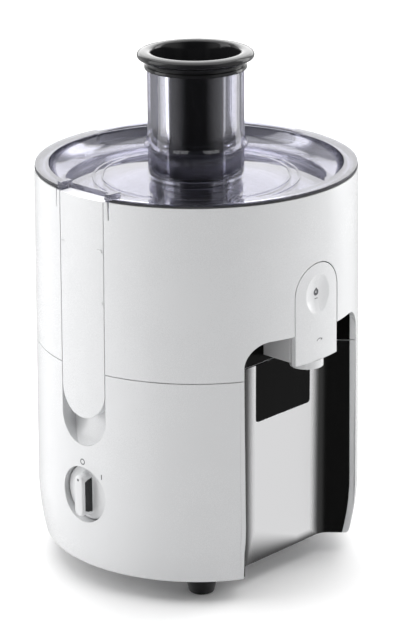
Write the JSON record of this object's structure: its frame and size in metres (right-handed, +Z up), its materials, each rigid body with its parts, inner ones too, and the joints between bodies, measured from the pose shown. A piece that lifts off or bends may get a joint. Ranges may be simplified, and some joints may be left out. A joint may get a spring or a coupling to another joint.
{
  "type": "centrifugal juicer",
  "caption": "Round white countertop juicer: clear lid with feed tube and black pusher, spinning filter basket, drip-stop spout above a recessed glass bay, side locking arm and rotary knob.",
  "frame": {"origin": "bowl axis at table height, under the feet", "axes": "+Z up along the motor and basket axis; the spout faces -Y; the locking arm and knob face -X; the cord inlet faces +Y"},
  "size_m": [0.2265, 0.2218, 0.352],
  "materials": {
    "white_shell": "satin gloss white moulded plastic",
    "clear_lid": "smoke tinted clear plastic, polished",
    "black_gloss": "high gloss black plastic",
    "black_rubber": "matte black rubber",
    "grey_seal": "dark grey silicone",
    "polished_liner": "polished sheet steel",
    "inner_plastic": "matt dark grey plastic",
    "bowl_plastic": "fine matt light grey plastic",
    "steel": "stamped stainless steel",
    "lamination": "stacked electrical steel, varnished",
    "copper": "enamelled copper wire",
    "carbon": "pressed carbon",
    "brass": "brass sheet",
    "zinc_bracket": "die cast, as cast",
    "board": "green circuit board",
    "film_cap": "yellow moulded case"
  },
  "bodies": {
    "base": {"motor_housing": "white_shell", "bay_shell": "white_shell", "bay_liner": "polished_liner", "bay_window": "black_gloss", "base_plate": "bowl_plastic", "foot_front_left": "black_rubber", "foot_right": "black_rubber", "foot_rear": "black_rubber", "base_screws": "steel", "stator_core": "lamination", "field_windings": "copper", "upper_bracket": "zinc_bracket", "lower_bracket": "zinc_bracket", "tie_screws": "steel", "upper_bearing": "steel", "lower_bearing": "steel", "brush_holders": "brass", "carbon_brushes": "carbon", "motor_mounts": "black_rubber", "mount_screws": "steel", "shaft_seal": "black_rubber", "cord_inlet": "black_rubber", "suppression_capacitor": "film_cap", "circuit_board": "board", "rotary_switch": "inner_plastic", "safety_switch": "inner_plastic", "plunger_spring": "steel", "catch_plate": "steel"},
    "rotor": {"motor_shaft": "steel", "armature_core": "lamination", "armature_winding": "copper", "commutator": "copper", "cooling_fan": "inner_plastic", "drive_coupling": "inner_plastic"},
    "drum": {"pulp_drum": "white_shell", "bay_roof": "black_gloss", "juice_collector": "bowl_plastic"},
    "drip_stop": {"drip_stop_flap": "white_shell", "spout_nozzle": "white_shell"},
    "basket": {"basket_hub": "inner_plastic", "grater_disc": "steel", "filter_mesh": "steel", "basket_rim": "bowl_plastic"},
    "lid": {"lid": "clear_lid", "lid_seal": "grey_seal", "arm_hinge_pin": "steel"},
    "pusher": {"pusher": "black_gloss"},
    "arm": {"locking_arm": "white_shell"},
    "interlock": {"safety_plunger": "white_shell"},
    "knob": {"rotary_knob": "white_shell", "switch_shaft": "steel"}
  },
  "joints": [
    {"name": "motor_spin", "type": "hinge", "parent": "base", "child": "rotor", "pos_m": [0, 0, 0.1], "axis": [0, 0, 1], "continuous": true},
    {"name": "drum_lift", "type": "slide", "parent": "base", "child": "drum", "axis": [0, 0, 1], "range_m": [0, 0.16]},
    {"name": "basket_spin", "type": "hinge", "parent": "drum", "child": "basket", "pos_m": [0, 0, 0.2], "axis": [0, 0, 1], "continuous": true},
    {"name": "drip_stop_slide", "type": "slide", "parent": "drum", "child": "drip_stop", "axis": [0, 0, 1], "range_m": [-0.01, 0]},
    {"name": "lid_lift", "type": "slide", "parent": "drum", "child": "lid", "axis": [0, 0, 1], "range_m": [0, 0.14]},
    {"name": "pusher_slide", "type": "slide", "parent": "lid", "child": "pusher", "axis": [0, 0, 1], "range_m": [0, 0.09]},
    {"name": "arm_swing", "type": "hinge", "parent": "lid", "child": "arm", "pos_m": [-0.101, 0, 0.271], "axis": [0, 1, 0], "range_deg": [0, 60]},
    {"name": "plunger_press", "type": "slide", "parent": "base", "child": "interlock", "axis": [1, 0, 0], "range_m": [0, 0.0025], "stiffness_N_per_m": 300, "springref_m": -0.001},
    {"name": "knob_turn", "type": "hinge", "parent": "base", "child": "knob", "pos_m": [-0.106, 0, 0.0685], "axis": [1, 0, 0], "range_deg": [0, 48]}
  ],
  "couplings": [
    {"joint": "basket_spin", "follows": "motor_spin", "ratio": 1}
  ]
}
